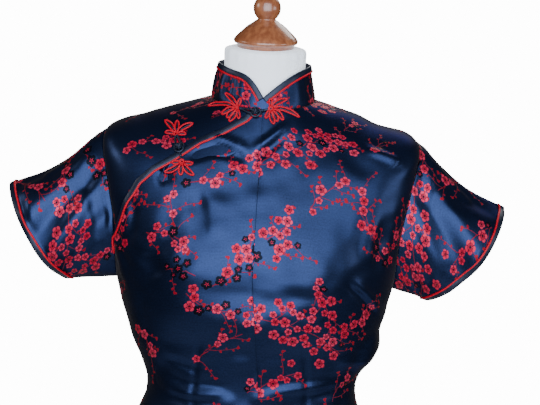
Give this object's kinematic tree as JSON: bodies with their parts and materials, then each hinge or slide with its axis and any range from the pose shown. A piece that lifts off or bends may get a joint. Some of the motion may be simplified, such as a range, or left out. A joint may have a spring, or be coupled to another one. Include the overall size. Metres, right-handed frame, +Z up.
{
  "type": "cheongsam dress on a dress form",
  "caption": "Fitted cheongsam with cap sleeves, stand collar, slanted overlap, frog closures and side slits, worn by a limbless dress form on a round foot.",
  "frame": {"origin": "middle of the foot's underside, on the floor", "axes": "+Z up along the pole, -Y out of the dress's front, +X towards the wearer's left sleeve"},
  "size_m": [0.6281, 0.33, 1.4893],
  "materials": {
    "front_left": "navy satin brocade with small red and navy plum blossoms",
    "front_right": "navy satin brocade with small red and navy plum blossoms",
    "under_front": "navy satin brocade with small red and navy plum blossoms",
    "back": "navy satin brocade with small red and navy plum blossoms",
    "sleeve_left": "navy satin brocade with small red and navy plum blossoms",
    "sleeve_right": "navy satin brocade with small red and navy plum blossoms",
    "collar": "navy satin brocade with small red and navy plum blossoms",
    "collar_binding": "dark navy satin bias binding",
    "front_binding": "dark navy satin bias binding",
    "sleeve_left_binding": "dark navy satin bias binding",
    "sleeve_right_binding": "dark navy satin bias binding",
    "hem_front_binding": "dark navy satin bias binding",
    "hem_back_binding": "dark navy satin bias binding",
    "collar_piping": "red satin piping",
    "front_piping": "red satin piping",
    "sleeve_left_piping": "red satin piping",
    "sleeve_right_piping": "red satin piping",
    "hem_front_piping": "red satin piping",
    "hem_back_piping": "red satin piping",
    "collar_frog_left": "navy cord edged with red, bent into a flower",
    "collar_frog_right": "navy cord edged with red, bent into a flower",
    "chest_frog_upper": "navy cord edged with red, bent into a flower",
    "chest_frog_lower": "navy cord edged with red, bent into a flower",
    "collar_frog_ball": "navy cord knotted into a ball",
    "chest_frog_ball": "navy cord knotted into a ball",
    "form_torso": "white cotton jersey stretched over a hard form",
    "form_cap": "reddish brown varnished turned wood",
    "stand_pole": "reddish brown varnished turned wood",
    "stand_foot": "reddish brown varnished turned wood"
  },
  "bodies": {
    "root": {"front_left": "front_left", "front_right": "front_right", "under_front": "under_front", "back": "back", "sleeve_left": "sleeve_left", "sleeve_right": "sleeve_right", "collar": "collar", "collar_binding": "collar_binding", "front_binding": "front_binding", "sleeve_left_binding": "sleeve_left_binding", "sleeve_right_binding": "sleeve_right_binding", "hem_front_binding": "hem_front_binding", "hem_back_binding": "hem_back_binding", "collar_piping": "collar_piping", "front_piping": "front_piping", "sleeve_left_piping": "sleeve_left_piping", "sleeve_right_piping": "sleeve_right_piping", "hem_front_piping": "hem_front_piping", "hem_back_piping": "hem_back_piping", "collar_frog_left": "collar_frog_left", "collar_frog_right": "collar_frog_right", "chest_frog_upper": "chest_frog_upper", "chest_frog_lower": "chest_frog_lower", "collar_frog_ball": "collar_frog_ball", "chest_frog_ball": "chest_frog_ball", "form_torso": "form_torso", "form_cap": "form_cap", "stand_pole": "stand_pole", "stand_foot": "stand_foot"}
  },
  "joints": []
}
